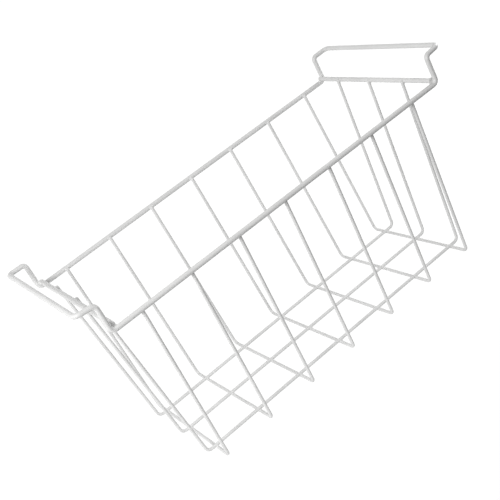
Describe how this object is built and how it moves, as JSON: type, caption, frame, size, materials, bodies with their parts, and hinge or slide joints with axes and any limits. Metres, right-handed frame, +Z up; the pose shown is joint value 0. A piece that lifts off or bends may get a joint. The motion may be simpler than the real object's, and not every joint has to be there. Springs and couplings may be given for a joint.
{
  "type": "freezer basket",
  "caption": "Open wire basket with tapering sides and two raised hanger handles, welded from plastic-coated steel wire, that hangs in a chest freezer.",
  "frame": {"origin": "on the floor under the middle of the basket", "axes": "+X along the basket's length towards the right handle, +Y across it towards the back, +Z up"},
  "size_m": [0.5576, 0.2494, 0.2753],
  "materials": {
    "frame_wire_coat": "white plastic coat on steel wire, satin",
    "mesh_wire_coat": "white plastic coat on steel wire, satin"
  },
  "bodies": {
    "root": {"rim_frame": "frame_wire_coat", "left_end_bar": "frame_wire_coat", "right_end_bar": "frame_wire_coat", "cross_wire_1": "mesh_wire_coat", "cross_wire_2": "mesh_wire_coat", "cross_wire_3": "mesh_wire_coat", "cross_wire_4": "mesh_wire_coat", "cross_wire_5": "mesh_wire_coat", "cross_wire_6": "mesh_wire_coat", "cross_wire_7": "mesh_wire_coat", "long_wire_front": "mesh_wire_coat", "long_wire_middle": "mesh_wire_coat", "long_wire_back": "mesh_wire_coat"}
  },
  "joints": []
}
